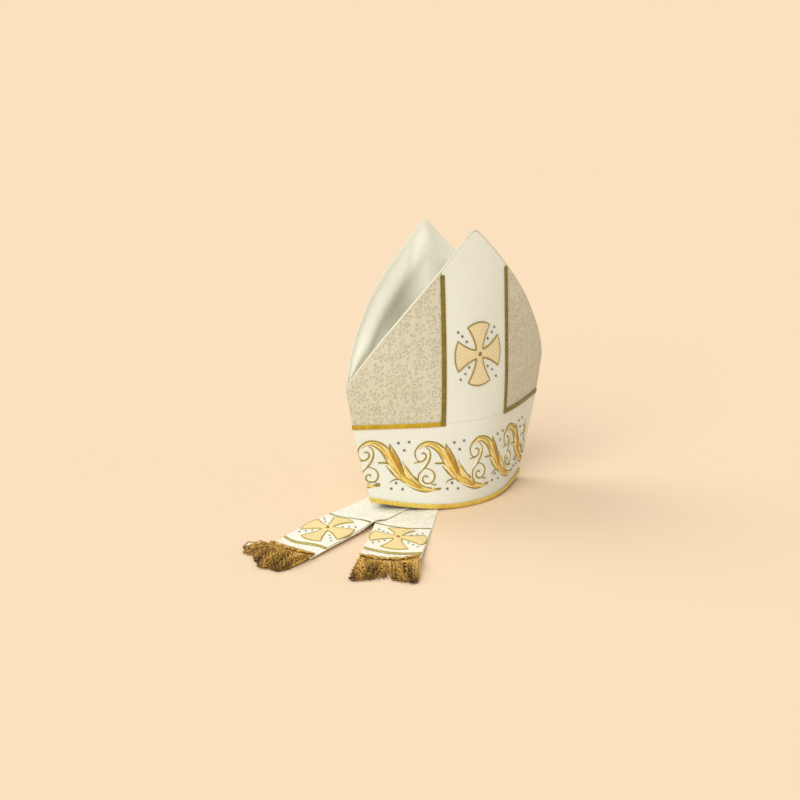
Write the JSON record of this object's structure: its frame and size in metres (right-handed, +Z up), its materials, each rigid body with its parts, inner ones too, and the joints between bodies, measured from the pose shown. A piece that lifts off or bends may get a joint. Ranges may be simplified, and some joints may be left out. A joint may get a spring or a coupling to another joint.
{
  "type": "bishop mitre",
  "caption": "Tall folding ceremonial hat with two pointed horns, a soft valley between them, a trimmed rim and two fringed lappets laid out beside it.",
  "frame": {"origin": "middle of the box over all, on the surface that it stands on", "axes": "+Z up; the front horn, with the cross, faces -Y; +X is to the right of someone who faces the front"},
  "size_m": [0.5229, 0.3079, 0.3774],
  "materials": {
    "ivory_cloth": "smooth matt ivory cloth, close plain weave",
    "damask": "beige and grey woven damask with a fine scrolling figure",
    "lining": "soft white lining cloth",
    "piping": "white cloth over a thin cord",
    "gold_galloon": "flat woven ribbon of dull gold thread",
    "gold_braid": "bright gold braid with a twisted face",
    "embroidery": "gold and pale gold satin stitch with a dark gold outline",
    "bullion": "brown gold twisted bullion cords",
    "stones": "small round cut glass stones on a silvered back"
  },
  "bodies": {
    "root": {"lining_front": "lining", "circulus_front": "ivory_cloth", "titulus_front": "ivory_cloth", "panel_front_left": "damask", "upright_galloon_front_left": "gold_galloon", "level_galloon_front_left": "gold_galloon", "panel_front_right": "damask", "upright_galloon_front_right": "gold_galloon", "level_galloon_front_right": "gold_galloon", "piping_front": "piping", "lining_back": "lining", "circulus_back": "ivory_cloth", "titulus_back": "ivory_cloth", "panel_back_left": "damask", "upright_galloon_back_left": "gold_galloon", "level_galloon_back_left": "gold_galloon", "panel_back_right": "damask", "upright_galloon_back_right": "gold_galloon", "level_galloon_back_right": "gold_galloon", "piping_back": "piping", "rim_braid": "gold_braid", "gusset": "lining", "cross_front": "embroidery", "lappet_left": "damask", "lappet_line_left": "gold_galloon", "lappet_panel_left": "ivory_cloth", "lappet_braid_left": "gold_galloon", "fringe_heading_left": "bullion", "lappet_cross_left": "embroidery", "fringe_left": "bullion", "lappet_right": "damask", "lappet_line_right": "gold_galloon", "lappet_panel_right": "ivory_cloth", "lappet_braid_right": "gold_galloon", "fringe_heading_right": "bullion", "lappet_cross_right": "embroidery", "fringe_right": "bullion"}
  },
  "joints": []
}
